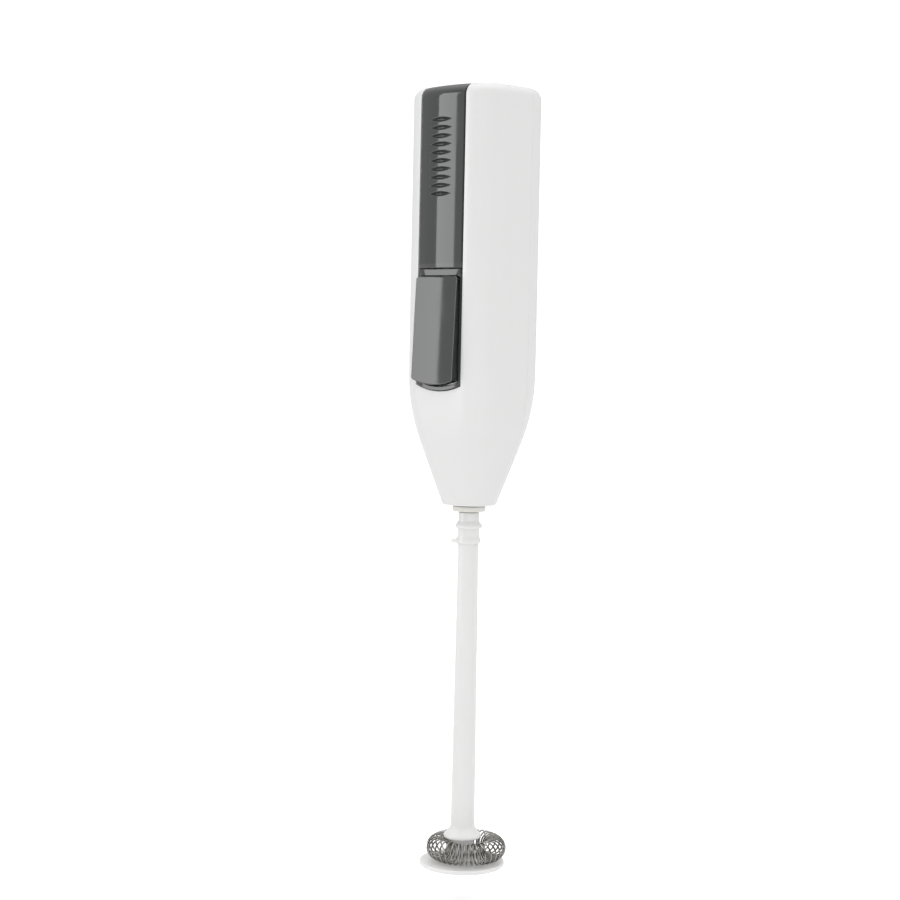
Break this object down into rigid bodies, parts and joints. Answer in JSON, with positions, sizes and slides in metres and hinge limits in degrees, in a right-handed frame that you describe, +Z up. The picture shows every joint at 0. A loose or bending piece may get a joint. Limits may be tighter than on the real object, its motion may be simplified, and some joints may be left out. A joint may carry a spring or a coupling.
{
  "type": "milk frother",
  "caption": "Hand-held battery milk frother: rounded white handle with grey battery cover and rocking power button, motor inside, pull-off whisk stem with disc and coil.",
  "frame": {"origin": "centre of the underside of the whisk disc", "axes": "+Z runs up the spindle towards the handle's top, -Y is the side with the button and battery cover, X is the handle's 30 mm width"},
  "size_m": [0.03, 0.0264, 0.199],
  "materials": {
    "white_shell": "satin",
    "grey_trim": "gloss",
    "stem_plastic": "satin",
    "nylon": "satin",
    "inner_plastic": "satin",
    "switch_board": "matte",
    "cell_jacket": "satin",
    "nickel_steel": "satin",
    "brass": "satin",
    "copper": "satin",
    "motor_steel": "satin",
    "shaft_steel": "polished",
    "core_steel": "matte",
    "magnet": "matte",
    "red_insulation": "satin",
    "black_insulation": "satin",
    "whisk_wire": "polished"
  },
  "bodies": {
    "handle": {"front_shell": "white_shell", "rear_cover": "white_shell", "button_frame": "grey_trim", "battery_tray": "inner_plastic", "battery_cell_front": "cell_jacket", "battery_cell_rear": "cell_jacket", "battery_link_contact": "nickel_steel", "battery_negative_spring": "nickel_steel", "battery_positive_contact": "nickel_steel", "switch_carrier": "switch_board", "switch_leaf": "brass", "switch_fixed_contact": "brass", "motor_can": "motor_steel", "motor_end_cap": "inner_plastic", "motor_magnet_right": "magnet", "motor_magnet_left": "magnet", "motor_front_bush": "brass", "motor_rear_bush": "brass", "motor_brush_right": "copper", "motor_brush_left": "copper", "motor_terminal_right": "brass", "motor_terminal_left": "brass", "negative_lead": "black_insulation", "positive_lead": "red_insulation", "switch_lead": "red_insulation"},
    "cover": {"battery_cover": "grey_trim"},
    "button": {"power_button": "grey_trim"},
    "rotor": {"motor_shaft": "shaft_steel", "armature_core": "core_steel", "armature_winding_1": "copper", "armature_winding_2": "copper", "armature_winding_3": "copper", "commutator": "copper", "drive_coupling": "nylon"},
    "whisk": {"whisk_stem": "stem_plastic", "whisk_coil": "whisk_wire"}
  },
  "joints": [
    {"name": "spindle_spin", "type": "hinge", "parent": "handle", "child": "rotor", "pos_m": [0, 0, 0.1], "axis": [0, 0, 1], "continuous": true},
    {"name": "stem_pull", "type": "slide", "parent": "rotor", "child": "whisk", "axis": [0, 0, -1], "range_m": [0, 0.009]},
    {"name": "button_press", "type": "hinge", "parent": "handle", "child": "button", "pos_m": [0, -0.0104, 0.1486], "axis": [1, 0, 0], "range_deg": [0, 3.5], "stiffness_Nm_per_rad": 0.6, "springref_deg": -1.15, "deforming": ["switch_leaf"]},
    {"name": "cover_slide", "type": "slide", "parent": "handle", "child": "cover", "axis": [0, 0, 1], "range_m": [0, 0.05]}
  ]
}
